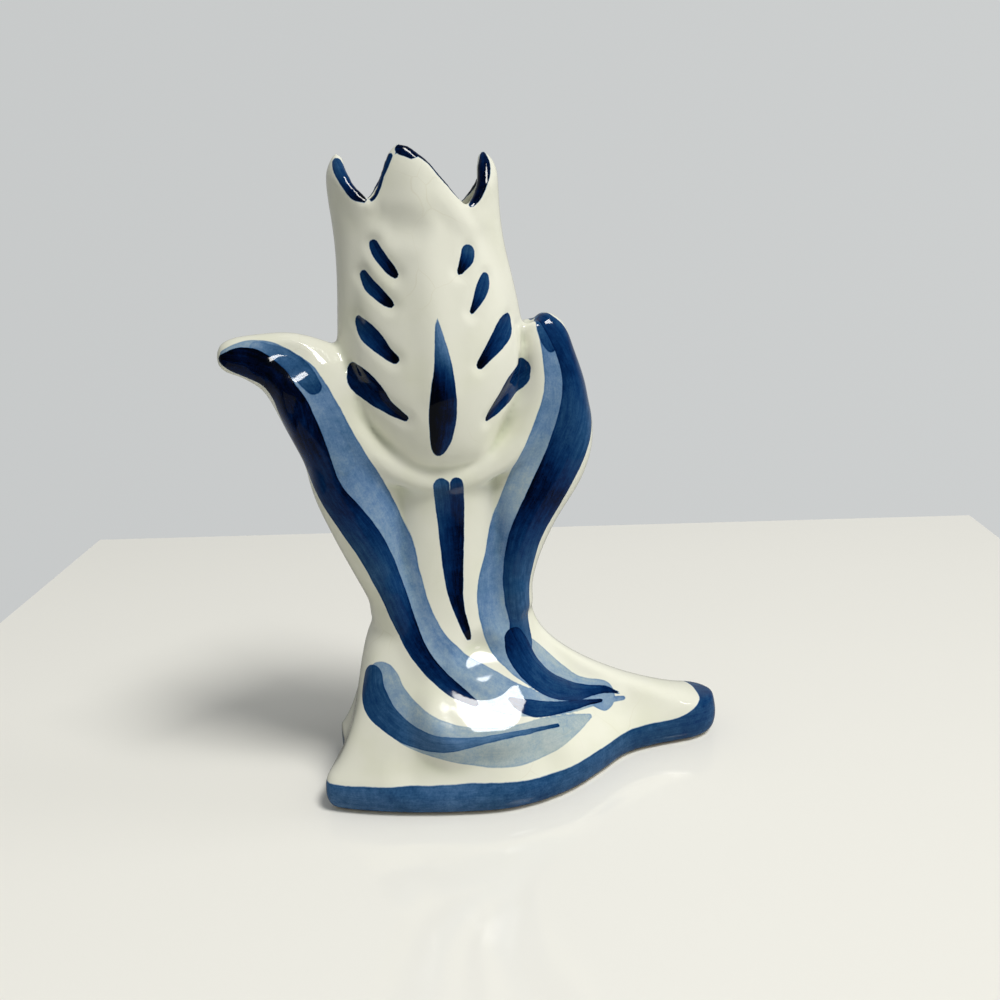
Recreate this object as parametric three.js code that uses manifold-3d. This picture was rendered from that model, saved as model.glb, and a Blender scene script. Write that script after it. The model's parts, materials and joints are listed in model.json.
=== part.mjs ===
// A tulip-shaped bud vase in glazed white earthenware. A hollow bloom with four petal tips stands on a
// flattened hollow stem, two leaves are luted to the stem's sides, and the stem spreads into a foot
// with a square heel on the left and a long toe on the right. A slab closes the foot, so it holds water.
// Sizes are in millimetres. +Z is up, the front faces -Y, the body's flat plane is X-Z, and the origin
// is on the resting face, under the stem.

import * as THREE from "three";
import { mergeVertices } from "three/addons/utils/BufferGeometryUtils.js";
import Module from "manifold-3d";

const wasm = await Module();
wasm.setup();

// Heights of the luted joints and of the rim
const slabThickness = 4;
const stemSeamZ = 46;
const bloomSeamZ = 88;
const petalTipZ = 165;
const leftNotchZ = 152.2;
const rightNotchZ = 149.8;

// Walls and clearances
const wall = 3.4;
const rimWall = 2.8;
const lutingGap = 0.3;

// Bloom: half width across X, half depth along Y, and how far its centre leans to the left
const bloomSeamHalfWidth = 15.2;
const bloomSeamHalfDepth = 10.6;
const bloomBellyHalfWidth = 24;
const bloomBellyHalfDepth = 17.2;
const bloomNeckHalfWidth = 20.8;
const bloomNeckHalfDepth = 11.6;
const bloomTipHalfWidth = 17.6;
const bloomTipHalfDepth = 10;
const bloomBellyZ = 113;
const bloomNeckZ = 152;
const bloomLean = 4.4;
const petalGrooveDepth = 1.1;
const petalTipSpreadDegrees = 57;

// Stem
const stemFootHalfWidth = 21.4;
const stemFootHalfDepth = 12.4;
const stemWaistHalfWidth = 15.2;
const stemWaistHalfDepth = 9.6;
const stemWaistRise = 27;

// Foot plan. The heel's front corner stands further out than its back corner.
const heelX = -34.6;
const heelCorners = [
  { hand: -1, x: -39.4, halfWidth: 16.8 },
  { hand: 1, x: -35.2, halfWidth: 15 },
];
const bellyX = 9;
const bellyHalfWidth = 30.8;
const toeNeckX = 46;
const toeNeckHalfWidth = 11.8;
const toeEndX = 75.8;
const toeHalfWidth = 8.8;
const bandTopZ = 9;
const toeCapRise = 3;
const footEdgeInset = 2.8;
const cavityReach = 30;

// Leaves
const leafHalfDepth = 10.2;
const leafTipHalfDepth = 3.8;
const leafSink = 4.5;

// Facets
const aroundStem = 48;
const aroundLeaf = 18;
const leafSteps = 22;

const TURN = 2 * Math.PI;
const clay = (color) => new THREE.MeshStandardMaterial({ color, roughness: 0.12, metalness: 0 });
const creamGlaze = 0xdedcc9;
const blueGlaze = 0x2c4a7c;

// A smooth value between stations {at, ...}: a cubic through each station's neighbours.
function between(stations, at, key) {
  const last = stations.length - 1;
  let i = 0;
  while (i < last - 1 && at > stations[i + 1].at) i++;
  const [a, b] = [stations[i], stations[i + 1]];
  const before = stations[Math.max(i - 1, 0)];
  const after = stations[Math.min(i + 2, last)];
  const span = b.at - a.at;
  const u = Math.min(Math.max((at - a.at) / span, 0), 1);
  const slopeA = ((b[key] - before[key]) / (b.at - before.at)) * span;
  const slopeB = ((after[key] - a[key]) / (after.at - a.at)) * span;
  const u2 = u * u;
  const u3 = u2 * u;
  return (
    (2 * u3 - 3 * u2 + 1) * a[key] +
    (u3 - 2 * u2 + u) * slopeA +
    (3 * u2 - 2 * u3) * b[key] +
    (u3 - u2) * slopeB
  );
}

// A closed surface through rings of points. A loop of rings closes on itself, as a tube wall does;
// otherwise both ends are capped.
function loft(rings, closesOnItself) {
  const count = rings[0].length;
  const positions = rings.flat().flatMap((p) => [p.x, p.y, p.z]);
  const index = [];
  const ringPairs = closesOnItself ? rings.length : rings.length - 1;
  for (let r = 0; r < ringPairs; r++) {
    const low = r * count;
    const high = ((r + 1) % rings.length) * count;
    for (let i = 0; i < count; i++) {
      const j = (i + 1) % count;
      index.push(low + i, low + j, high + j, low + i, high + j, high + i);
    }
  }
  if (!closesOnItself) {
    for (const [ring, first, flip] of [
      [rings[0], 0, true],
      [rings.at(-1), (rings.length - 1) * count, false],
    ]) {
      const centre = ring.reduce((sum, p) => sum.add(p), new THREE.Vector3()).divideScalar(count);
      const hub = positions.length / 3;
      positions.push(centre.x, centre.y, centre.z);
      for (let i = 0; i < count; i++) {
        const j = (i + 1) % count;
        if (flip) index.push(hub, first + j, first + i);
        else index.push(hub, first + i, first + j);
      }
    }
  }
  const geometry = new THREE.BufferGeometry();
  geometry.setAttribute("position", new THREE.Float32BufferAttribute(positions, 3));
  geometry.setIndex(index);
  return geometry;
}

function solidOf(geometry) {
  const merged = mergeVertices(geometry, 1e-4);
  return new wasm.Manifold(
    new wasm.Mesh({
      numProp: 3,
      vertProperties: merged.attributes.position.array,
      triVerts: new Uint32Array(merged.index.array),
    }),
  );
}

function geometryOf(solid) {
  const mesh = solid.getMesh();
  const geometry = new THREE.BufferGeometry();
  geometry.setAttribute("position", new THREE.BufferAttribute(mesh.vertProperties, 3));
  geometry.setIndex(new THREE.BufferAttribute(mesh.triVerts, 1));
  return geometry;
}

// Bloom

const bloomStations = [
  { at: bloomSeamZ, w: bloomSeamHalfWidth, d: bloomSeamHalfDepth, x: -1 },
  { at: bloomSeamZ + 2.5, w: bloomSeamHalfWidth + 0.2, d: bloomBellyHalfDepth * 0.76, x: -1.3 },
  { at: bloomSeamZ + 6, w: bloomBellyHalfWidth * 0.68, d: bloomBellyHalfDepth * 0.87, x: -1.8 },
  { at: bloomSeamZ + 10.5, w: bloomBellyHalfWidth * 0.78, d: bloomBellyHalfDepth * 0.94, x: -2.2 },
  { at: bloomSeamZ + 16, w: bloomBellyHalfWidth * 0.925, d: bloomBellyHalfDepth * 0.99, x: -2.4 },
  { at: bloomBellyZ, w: bloomBellyHalfWidth, d: bloomBellyHalfDepth, x: -2 },
  { at: bloomBellyZ + 15, w: bloomBellyHalfWidth * 0.945, d: bloomBellyHalfDepth * 0.9, x: -2.2 },
  { at: bloomNeckZ - 11, w: bloomNeckHalfWidth, d: bloomNeckHalfDepth * 1.12, x: -bloomLean + 1 },
  { at: bloomNeckZ, w: bloomNeckHalfWidth - 0.1, d: bloomNeckHalfDepth, x: -bloomLean + 0.2 },
  { at: petalTipZ - 5.5, w: bloomNeckHalfWidth + 0.1, d: bloomTipHalfDepth * 1.08, x: -bloomLean },
  { at: petalTipZ, w: bloomTipHalfWidth, d: bloomTipHalfDepth, x: -bloomLean - 0.3 },
];

// The rim's corners by angle from +X: four petal tips with a notch between each pair
const spread = THREE.MathUtils.degToRad(petalTipSpreadDegrees);
const sidePetal = { steps: 9, sharpness: 1.15, rounding: 0.14 };
const facePetal = { steps: 7, sharpness: 1.02, rounding: 0.3 };
const rimCorners = [
  { angle: 0, z: petalTipZ - 1.5, tip: true, ...sidePetal },
  { angle: spread, z: rightNotchZ, ...facePetal },
  { angle: 0.25 * TURN, z: petalTipZ - 0.6, tip: true, ...facePetal },
  { angle: 0.5 * TURN - spread, z: leftNotchZ, ...sidePetal },
  { angle: 0.5 * TURN, z: petalTipZ - 1.7, tip: true, ...sidePetal },
  { angle: 0.5 * TURN + spread, z: leftNotchZ, ...facePetal },
  { angle: 0.725 * TURN, z: petalTipZ, tip: true, ...facePetal },
  { angle: TURN - spread, z: rightNotchZ, ...sidePetal },
];

// Samples round the bloom, each with its angle and the rim's height there, so that every tip and
// notch falls on a sample. A slope runs nearly straight from a rounded tip down to its notch.
const roundBloom = rimCorners.flatMap((corner, i) => {
  const next = rimCorners[(i + 1) % rimCorners.length];
  const nextAngle = next.angle || TURN;
  const [tip, notch] = corner.tip ? [corner, next] : [next, corner];
  return Array.from({ length: corner.steps }, (_, k) => {
    const along = k / corner.steps;
    const away = corner.tip ? along : 1 - along;
    const round = tip.rounding;
    const rounded = (Math.hypot(away, round) - round) / (Math.hypot(1, round) - round);
    return {
      angle: THREE.MathUtils.lerp(corner.angle, nextAngle, along),
      rim: notch.z + (tip.z - notch.z) * (1 - rounded) ** corner.sharpness,
    };
  });
});

// The groove where the front and back petals overlap the side petals, widest apart at the belly
function petalGroove(angle, z) {
  const rise = THREE.MathUtils.clamp((z - bloomSeamZ) / (leftNotchZ - bloomSeamZ), 0, 1);
  const openAt = spread * (0.28 + 0.72 * rise ** 3);
  const fromSide = Math.abs(((angle + 0.25 * TURN) % (0.5 * TURN)) - 0.25 * TURN);
  const width = 0.17;
  const fade = Math.min(1, Math.max(0, rise - 0.12) * 4);
  return petalGrooveDepth * fade * Math.exp(-(((fromSide - openAt) / width) ** 2));
}

function bloomPoint(angle, z, inset) {
  const w = between(bloomStations, z, "w") - inset;
  const d = between(bloomStations, z, "d") - inset;
  const groove = inset > 0 ? 0 : petalGroove(angle, z);
  return new THREE.Vector3(
    between(bloomStations, z, "x") + (w - groove) * Math.cos(angle),
    (d - groove) * Math.sin(angle),
    z,
  );
}

// One row of the bloom, at a share of the way up from its seam to the zigzag rim
function bloomRow(share, inset, lift = 0) {
  return roundBloom.map(({ angle, rim }) =>
    bloomPoint(angle, bloomSeamZ + share * (rim - bloomSeamZ) + lift, inset),
  );
}

const outerShares = [0, 0.03, 0.06, 0.1, 0.15, 0.21, 0.3, 0.4, 0.5, 0.61, 0.72, 0.82, 0.9, 0.955, 1];
const innerShares = [1, 0.85, 0.65, 0.45, 0.28, 0.15, 0.07, 0];

function bloomWallAt(share) {
  return THREE.MathUtils.lerp(wall, rimWall, share);
}

function makeBloomCup() {
  const lipRounding = 0.7;
  return loft(
    [
      ...outerShares.map((share) => bloomRow(share, 0, share === 1 ? -lipRounding : 0)),
      bloomRow(1, rimWall * 0.22, -lipRounding * 0.2),
      bloomRow(1, rimWall * 0.6),
      ...innerShares.map((share) => bloomRow(share, bloomWallAt(share), share === 1 ? -lipRounding : 0)),
    ],
    true,
  );
}

// Stem

const stemStations = [
  { at: stemSeamZ, w: stemFootHalfWidth, d: stemFootHalfDepth, x: -0.2 },
  { at: stemSeamZ + 8, w: stemFootHalfWidth * 0.83, d: stemFootHalfDepth * 0.9, x: -0.6 },
  { at: stemSeamZ + stemWaistRise, w: stemWaistHalfWidth, d: stemWaistHalfDepth, x: -1 },
  { at: bloomSeamZ, w: bloomSeamHalfWidth, d: bloomSeamHalfDepth, x: -1 },
];

function stemRow(z, inset) {
  const w = between(stemStations, z, "w") - inset;
  const d = between(stemStations, z, "d") - inset;
  const x = between(stemStations, z, "x");
  return Array.from({ length: aroundStem }, (_, i) => {
    const angle = (i / aroundStem) * TURN;
    return new THREE.Vector3(x + w * Math.cos(angle), d * Math.sin(angle), z);
  });
}

const stemSteps = 6;
const stemHeights = Array.from({ length: stemSteps + 1 }, (_, i) =>
  THREE.MathUtils.lerp(stemSeamZ, bloomSeamZ, i / stemSteps),
);

function makeStemTube() {
  return loft(
    [
      ...stemHeights.map((z) => stemRow(z, 0)),
      ...stemHeights.toReversed().map((z) => stemRow(z, wall)),
    ],
    true,
  );
}

// Foot

// Half of the plan outline, from the toe to the heel corner, on the front (-1) or the back (1)
function halfOutline({ hand, x, halfWidth }) {
  return [
    [toeEndX - 1.7, 5.2],
    [toeEndX - 7.5, toeHalfWidth],
    [toeNeckX + 10, toeHalfWidth + 1],
    [toeNeckX, toeNeckHalfWidth],
    [bellyX + 26, bellyHalfWidth - 11],
    [bellyX + 15, bellyHalfWidth - 4],
    [bellyX, bellyHalfWidth],
    [bellyX - 15, bellyHalfWidth - 2],
    [x + 16, halfWidth + 7],
    [x + 4.5, halfWidth + 2],
    [x, halfWidth - 1.2],
    [x + 1.6, halfWidth * 0.6],
  ].map(([px, py]) => new THREE.Vector3(px, hand * py, 0));
}

// The whole plan outline, counter-clockwise from above
const [frontCorner, backCorner] = heelCorners;
const wholeOutline = [
  new THREE.Vector3(toeEndX, 0, 0),
  ...halfOutline(backCorner),
  new THREE.Vector3(heelX, 0, 0),
  ...halfOutline(frontCorner).reverse(),
];
const outlineCurve = new THREE.CatmullRomCurve3(wholeOutline, true, "centripetal");
const aroundFoot = 76;
const outline = outlineCurve.getSpacedPoints(aroundFoot).slice(0, -1);

// The line down the middle of the plan that the foot's walls lean towards
const spineHeelX = heelX + 14;
const spineToeX = toeEndX - 9;

function towardsSpine(p, distance) {
  const spine = new THREE.Vector3(THREE.MathUtils.clamp(p.x, spineHeelX, spineToeX), 0, 0);
  const step = spine.clone().sub(p);
  return p.clone().addScaledVector(step.normalize(), distance);
}

// How each side rises from the band to the stem: the two handles of a cubic, as the share of the
// way out and the height
const risingHandles = {
  toe: { out1: 1, z1: 10, out2: 0, z2: 26 },
  belly: { out1: 0.8, z1: 14, out2: 0.18, z2: 22 },
  heel: { out1: 0.58, z1: 13, out2: 0.5, z2: 40.5 },
};

// What the instep adds to the belly's handles: it swells out under the stem, in front and behind
const instepFullness = { out1: 0.3, z1: 11, out2: 0.24, z2: 5 };

// How much fuller the slope is between the toe's ridge and the belly
const shoulderRise = 3;

// The band's top rises over the end of the toe
function bandTopAt(p) {
  return bandTopZ + toeCapRise * THREE.MathUtils.smoothstep(p.x, toeNeckX + 4, toeEndX - 4);
}

function cubic(a, b, c, d, s) {
  const t = 1 - s;
  return t * t * t * a + 3 * t * t * s * b + 3 * t * s * s * c + s * s * s * d;
}

// A point on the foot above the band: s runs from the band's top to the stem's seam
function footPoint(p, s) {
  const angle = Math.atan2(p.y / stemFootHalfDepth, p.x / stemFootHalfWidth);
  const top = new THREE.Vector3(
    stemStations[0].x + stemFootHalfWidth * Math.cos(angle),
    stemFootHalfDepth * Math.sin(angle),
    0,
  );
  const toe = Math.max(0, Math.cos(angle)) ** 2;
  const heel = Math.max(0, -Math.cos(angle)) ** 1.5;
  const belly = Math.max(0, 1 - toe - heel);
  const instep = belly ** 2.5;
  const handle = (key) =>
    toe * risingHandles.toe[key] +
    heel * risingHandles.heel[key] +
    belly * risingHandles.belly[key] +
    instep * instepFullness[key];
  const out = cubic(1, handle("out1"), handle("out2"), 0, s);
  const shoulder = shoulderRise * 16 * toe * belly * s * (1 - s);
  const z = cubic(bandTopAt(p), handle("z1"), handle("z2"), stemSeamZ, s) + shoulder;
  const spine = new THREE.Vector3(THREE.MathUtils.clamp(p.x, spineHeelX, spineToeX), 0, 0);
  const leanIn = 0.26 * Math.min(1, s * 2.2) * (0.35 + 0.65 * toe);
  const base = p.clone().lerp(spine, leanIn);
  const point = top.lerp(base, out);
  point.z = z;
  return point;
}

const risingShares = [0, 0.06, 0.14, 0.24, 0.35, 0.47, 0.6, 0.72, 0.83, 0.92, 1];
const cavityShares = [0.92, 0.78, 0.6, 0.42, 0.24];

// Pushes a point sideways from the stem's axis
function sideways(point, distance) {
  const away = new THREE.Vector3(point.x, point.y, 0).normalize();
  return point.clone().addScaledVector(away, distance);
}

function cavityPoint(p) {
  const inner = sideways(p, -wall);
  const reach = Math.hypot(inner.x, inner.y);
  const limit = Math.min(reach, cavityReach);
  inner.x *= limit / reach;
  inner.y *= limit / reach;
  return inner;
}

function footOuterRows(grow = 0) {
  const bandRows = [
    outline.map((p) => sideways(towardsSpine(p, 0.3).setZ(slabThickness), grow)),
    outline.map((p) => sideways(p.clone().setZ(bandTopZ * 0.72), grow)),
  ];
  return [
    ...bandRows,
    ...risingShares.map((s) => outline.map((p) => sideways(footPoint(towardsSpine(p, 1.1), s), grow))),
  ];
}

function makeFootShell() {
  const onWall = (p, s) => cavityPoint(footPoint(towardsSpine(p, 1.1), s));
  const mouthRow = outline.map((p) => onWall(p, 1).setZ(stemSeamZ));
  const cavityRows = cavityShares.map((s) =>
    outline.map((p) => {
      const point = onWall(p, s);
      return point.setZ(Math.max(point.z - wall * (1 - s), slabThickness + 1));
    }),
  );
  const floorRow = outline.map((p) => onWall(p, 0).setZ(slabThickness));
  return loft([...footOuterRows(), mouthRow, ...cavityRows, floorRow], true);
}

function makeBaseSlab() {
  return loft(
    [
      outline.map((p) => towardsSpine(p, footEdgeInset)),
      outline.map((p) => towardsSpine(p, footEdgeInset * 0.45).setZ(slabThickness * 0.25)),
      outline.map((p) => towardsSpine(p, 0.7).setZ(slabThickness * 0.6)),
      outline.map((p) => towardsSpine(p, 0.3).setZ(slabThickness)),
    ],
    false,
  );
}

// Leaves

// The vase's side at a height, on the left (-1) or the right (1)
function vaseSide(z, hand) {
  const stations = z < bloomSeamZ ? stemStations : bloomStations;
  return between(stations, z, "x") + hand * between(stations, z, "w");
}

// Each leaf's centre line from root to tip: height above the stem's seam, how far it stands off the
// vase's side, and its reach outwards and inwards. A leaf that still touches the vase has no inner
// reach of its own: it runs into the vase's side.
const leftLeaf = [
  { at: 0, rise: 0, off: -6.4, out: 6.6 },
  { at: 1, rise: 7, off: -2.8, out: 6.6 },
  { at: 2, rise: 17, off: 2.6, out: 7 },
  { at: 3, rise: 28, off: 7.2, out: 7.8 },
  { at: 4, rise: 39, off: 10.6, out: 8.2 },
  { at: 5, rise: 49, off: 11.2, out: 7.4 },
  { at: 6, rise: 58.5, off: 10.6, out: 6, inner: 19 },
  { at: 7, rise: 66.5, off: 14, out: 5.2, inner: 13 },
  { at: 8, rise: 71, off: 20.4, out: 5, inner: 6 },
  { at: 9, rise: 72, off: 26, out: 3.8, inner: 3.8 },
];
const rightLeaf = [
  { at: 0, rise: 0, off: -7, out: 7.2 },
  { at: 1, rise: 7, off: -4, out: 7.8 },
  { at: 2, rise: 17, off: 0.6, out: 8.2 },
  { at: 3, rise: 28, off: 7.2, out: 8.4 },
  { at: 4, rise: 39, off: 14.2, out: 9 },
  { at: 5, rise: 48, off: 15.6, out: 9 },
  { at: 6, rise: 57, off: 11, out: 7.2 },
  { at: 7, rise: 66, off: 7.6, out: 5.2 },
  { at: 8, rise: 72.5, off: 6.8, out: 4.2, inner: 8 },
  { at: 9, rise: 75, off: 6, out: 2.8, inner: 3.4 },
];

function leafCentre(stations, at, hand) {
  const z = stemSeamZ + between(stations, at, "rise");
  const x = vaseSide(z, hand) + hand * between(stations, at, "off");
  return new THREE.Vector3(x, 0, z);
}

function leafRings(leaf, hand) {
  const stations = leaf.map((s) => ({ ...s, inner: s.inner ?? Math.max(s.off, 0) * 1.08 + leafSink }));
  const last = stations.length - 1;
  const small = 0.05;
  const rings = [];
  for (let i = 0; i <= leafSteps; i++) {
    const at = (i / leafSteps) * last;
    const centre = leafCentre(stations, at, hand);
    const ahead = leafCentre(stations, Math.min(at + small, last), hand);
    const behind = leafCentre(stations, Math.max(at - small, 0), hand);
    const along = ahead.sub(behind).normalize();
    const outwards = new THREE.Vector3(hand * along.z, 0, -hand * along.x);
    const out = between(stations, at, "out");
    const inner = between(stations, at, "inner");
    const nearTip = THREE.MathUtils.smoothstep(at, last - 3.5, last);
    const depth = THREE.MathUtils.lerp(leafHalfDepth, leafTipHalfDepth, nearTip);
    rings.push(
      Array.from({ length: aroundLeaf }, (_, k) => {
        const angle = (k / aroundLeaf) * TURN;
        const across = Math.cos(angle) * (Math.cos(angle) > 0 ? out : inner);
        const point = centre.clone().addScaledVector(outwards, across);
        point.y = hand * depth * Math.sin(angle);
        return point;
      }),
    );
  }
  const tip = rings.at(-1);
  const tipCentre = leafCentre(stations, last, hand);
  const tipAlong = tipCentre.clone().sub(leafCentre(stations, last - small, hand)).normalize();
  for (const [shrink, ahead] of [
    [0.2, 1.3],
    [0.55, 2.3],
  ]) {
    rings.push(tip.map((p) => p.clone().lerp(tipCentre, shrink).addScaledVector(tipAlong, ahead)));
  }
  return rings;
}

// What the leaves are trimmed to: the vase's outside, grown by the luting gap
function vaseOutside() {
  const bloomRows = outerShares.map((share) => bloomRow(share, -lutingGap));
  const stemRows = stemHeights.map((z) => stemRow(z, -lutingGap));
  return [bloomRows, stemRows, footOuterRows(lutingGap)]
    .map((rows) => solidOf(loft(rows, false)))
    .reduce((whole, piece) => whole.add(piece));
}

function makeLeaf(leaf, hand, outside) {
  const trimmed = solidOf(loft(leafRings(leaf, hand), false)).subtract(outside);
  const bodies = trimmed.decompose().sort((a, b) => b.volume() - a.volume());
  return geometryOf(bodies[0]);
}

// The assembly

const vase = new THREE.Group();

function addPiece(name, geometry, color) {
  const mesh = new THREE.Mesh(geometry, clay(color));
  mesh.name = name;
  vase.add(mesh);
}

const outside = vaseOutside();
addPiece("base_slab", makeBaseSlab(), blueGlaze);
addPiece("foot_shell", makeFootShell(), creamGlaze);
addPiece("stem_tube", makeStemTube(), creamGlaze);
addPiece("bloom_cup", makeBloomCup(), creamGlaze);
addPiece("left_leaf", makeLeaf(leftLeaf, -1, outside), blueGlaze);
addPiece("right_leaf", makeLeaf(rightLeaf, 1, outside), blueGlaze);

export default vase;
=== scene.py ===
import json
import math
import bpy
import numpy as np
from mathutils import Matrix, Vector
from mathutils.bvhtree import BVHTree

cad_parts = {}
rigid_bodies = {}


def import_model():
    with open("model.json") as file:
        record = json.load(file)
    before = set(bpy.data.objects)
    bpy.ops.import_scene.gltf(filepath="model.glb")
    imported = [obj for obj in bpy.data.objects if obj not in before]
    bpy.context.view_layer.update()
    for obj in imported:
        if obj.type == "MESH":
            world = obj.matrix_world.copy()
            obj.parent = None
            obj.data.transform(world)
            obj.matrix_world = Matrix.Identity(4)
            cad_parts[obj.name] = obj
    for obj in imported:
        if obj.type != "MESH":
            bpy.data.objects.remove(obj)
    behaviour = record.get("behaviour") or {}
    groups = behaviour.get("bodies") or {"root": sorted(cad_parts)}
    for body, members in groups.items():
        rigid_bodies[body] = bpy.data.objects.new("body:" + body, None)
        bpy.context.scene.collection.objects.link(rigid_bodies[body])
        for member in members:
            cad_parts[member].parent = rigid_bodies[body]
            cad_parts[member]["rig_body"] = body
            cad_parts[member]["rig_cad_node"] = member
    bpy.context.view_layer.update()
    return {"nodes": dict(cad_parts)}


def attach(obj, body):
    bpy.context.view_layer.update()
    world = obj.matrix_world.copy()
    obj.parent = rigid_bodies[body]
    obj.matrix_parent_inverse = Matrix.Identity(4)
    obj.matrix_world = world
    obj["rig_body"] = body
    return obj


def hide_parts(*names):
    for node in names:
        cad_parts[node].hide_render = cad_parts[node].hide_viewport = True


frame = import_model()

MM = 0.001
eye = Vector((-44.3, -273.8, 156.4)) * MM
eye_turn = math.radians(12.0)
eye_dip = math.radians(16.2)
eye_roll = math.radians(2.3)
ahead = Vector((math.sin(eye_turn) * math.cos(eye_dip),
                math.cos(eye_turn) * math.cos(eye_dip), -math.sin(eye_dip)))
level_right = Vector((math.cos(eye_turn), -math.sin(eye_turn), 0))
level_up = level_right.cross(ahead)
right = level_right * math.cos(eye_roll) - level_up * math.sin(eye_roll)
up = level_right * math.sin(eye_roll) + level_up * math.cos(eye_roll)
bpy.ops.object.select_all(action="DESELECT")
bpy.ops.object.camera_add(location=eye)
camera = bpy.context.active_object
camera.name = "photographers_eye"
camera.matrix_world = Matrix.Translation(eye) @ Matrix((right, up, -ahead)).transposed().to_4x4()
camera.data.sensor_width = 36
camera.data.lens = 39.6
camera.data.clip_start = 0.01
bpy.context.scene.camera = camera

# The casting: bloom, stem, foot, base and leaves are cast in plaster moulds,
# luted together with slip while leather hard, and sponged until no seam shows.
ROUNDING = 2
LUTING = 0.5 * MM
SLIP_GRAIN = 0.8 * MM
SAME_POINT = 0.001 * MM
NEARLY_FLAT = 0.8
CUT_EDGE = 0.9
TRAIL_STEP = 0.7
FAINTEST_TOUCH = 0.01
TURN_FADE = 2.5
PAT_TURN_FADE = 3
PAT_DEPTH = 9


def leather_hard(name, swell):
    """A copy of one clay element, merged, rounded and swollen by so many metres."""
    bpy.ops.object.select_all(action="DESELECT")
    node = frame["nodes"][name]
    node.select_set(True)
    bpy.context.view_layer.objects.active = node
    bpy.ops.object.duplicate()
    clay = bpy.context.active_object
    clay.name = "clay_" + name
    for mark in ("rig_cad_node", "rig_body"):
        del clay[mark]
    clay.parent = None
    bpy.ops.object.mode_set(mode="EDIT")
    bpy.ops.mesh.select_all(action="SELECT")
    bpy.ops.mesh.remove_doubles(threshold=SAME_POINT)
    bpy.ops.mesh.tris_convert_to_quads(face_threshold=NEARLY_FLAT, shape_threshold=NEARLY_FLAT)
    bpy.ops.mesh.select_all(action="DESELECT")
    bpy.ops.mesh.select_mode(type="EDGE")
    bpy.ops.mesh.edges_select_sharp(sharpness=CUT_EDGE)
    bpy.ops.transform.edge_crease(value=1)
    bpy.ops.object.mode_set(mode="OBJECT")
    rounding = clay.modifiers.new("rounding", "SUBSURF")
    rounding.levels = rounding.render_levels = ROUNDING
    bpy.ops.object.modifier_apply(modifier=rounding.name)
    if swell:
        luting = clay.modifiers.new("luting", "DISPLACE")
        luting.strength = swell
        luting.mid_level = 0
        bpy.ops.object.modifier_apply(modifier=luting.name)
    return clay


def coil(name, stations, closed=False):
    """A rolled coil of soft clay through stations of x, y, z and radius in mm."""
    roll = bpy.data.curves.new(name, "CURVE")
    roll.dimensions = "3D"
    roll.bevel_depth = MM
    roll.bevel_resolution = 3
    roll.use_fill_caps = True
    line = roll.splines.new("POLY")
    line.points.add(len(stations) - 1)
    line.use_cyclic_u = closed
    for point, (x, y, z, thick) in zip(line.points, stations):
        point.co = (x * MM, y * MM, z * MM, 1)
        point.radius = thick
    clay = bpy.data.objects.new(name, roll)
    bpy.context.collection.objects.link(clay)
    bpy.ops.object.select_all(action="DESELECT")
    clay.select_set(True)
    bpy.context.view_layer.objects.active = clay
    bpy.ops.object.convert(target="MESH")
    return bpy.context.active_object


COLLAR = [(24, 2, 121.5, 2.6), (24.5, 4, 116, 3.2), (25, 5, 110, 3.6), (24.5, 6, 104, 3.8),
          (22, 7, 98, 3.8), (18, 7.5, 92.5, 3.8), (12.5, 8, 88, 3.6), (6, 8.3, 85, 3.4),
          (-1, 8.5, 83.8, 3.3), (-8, 8.3, 84.8, 3.4), (-14, 8, 88, 3.6), (-19.5, 7.5, 92.5, 3.8),
          (-24, 7, 98, 3.8), (-27, 6, 104, 3.8), (-29, 5, 110, 3.6), (-30, 4, 115, 3.2)]
# The lip's coil: its stations were first read off the bloom's rim and then adjusted.
LIP_LINE = [
    (13.1, 0, 163.4, 1.6), (14.1, 2.5, 159.8, 1.5), (12.7, 4.8, 156.2, 1.5), (10.1, 7.1, 152.4, 1.4),
    (7.9, 7.9, 150.5, 1.4), (4.7, 8.3, 151.5, 1.4), (2.4, 8.4, 155.6, 1.4), (0.6, 8.8, 158.9, 1.4),
    (-3, 9, 163, 1.4), (-4.8, 9, 164.3, 1.4), (-6.3, 8.9, 163.1, 1.4), (-9.9, 8.6, 159.1, 1.4),
    (-14.4, 8.2, 152.6, 1.4), (-19.1, 6.9, 154.5, 1.4), (-22.1, 4.8, 157.3, 1.5),
    (-22.9, 2.1, 161.3, 1.6), (-22.2, -0.5, 163.8, 1.7), (-22.2, -2.8, 161.4, 1.8),
    (-20.9, -5.3, 157.3, 1.8), (-17.6, -7, 153.9, 1.6), (-15.8, -7.9, 152.3, 1.45),
    (-12.9, -8.2, 156.5, 1.5), (-11.2, -8.3, 161.1, 1.5), (-9.8, -8.4, 164.0, 1.5),
    (-8.4, -8.6, 165.3, 1.5), (-6.8, -8.8, 164.6, 1.6), (-2.8, -9, 161.2, 1.5),
    (1.9, -9.1, 155.6, 1.4), (6.6, -8.3, 150.1, 1.4), (10.2, -6.4, 153.4, 1.8),
    (12.4, -4.5, 156.9, 2.3), (12.9, -1.9, 161, 2.1)]
LIP_PROUD = 0.5
clays = [leather_hard(name, 0) for name in ("base_slab", "foot_shell", "stem_tube", "bloom_cup")]
clays += [leather_hard(name, LUTING) for name in ("left_leaf", "right_leaf")]
clays += [coil("collar_" + side, [(x, flip * y, z, thick) for x, y, z, thick in COLLAR])
          for side, flip in (("front", -1), ("back", 1))]
clays.append(coil("lip", [(x, y, z - thick + LIP_PROUD, thick) for x, y, z, thick in LIP_LINE],
                  closed=True))
bpy.ops.object.select_all(action="DESELECT")
for clay in clays:
    clay.select_set(True)
bpy.context.view_layer.objects.active = clays[0]
bpy.ops.object.join()
casting = bpy.context.active_object
casting.name = "glazed_vase"
casting.data.materials.clear()
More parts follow.
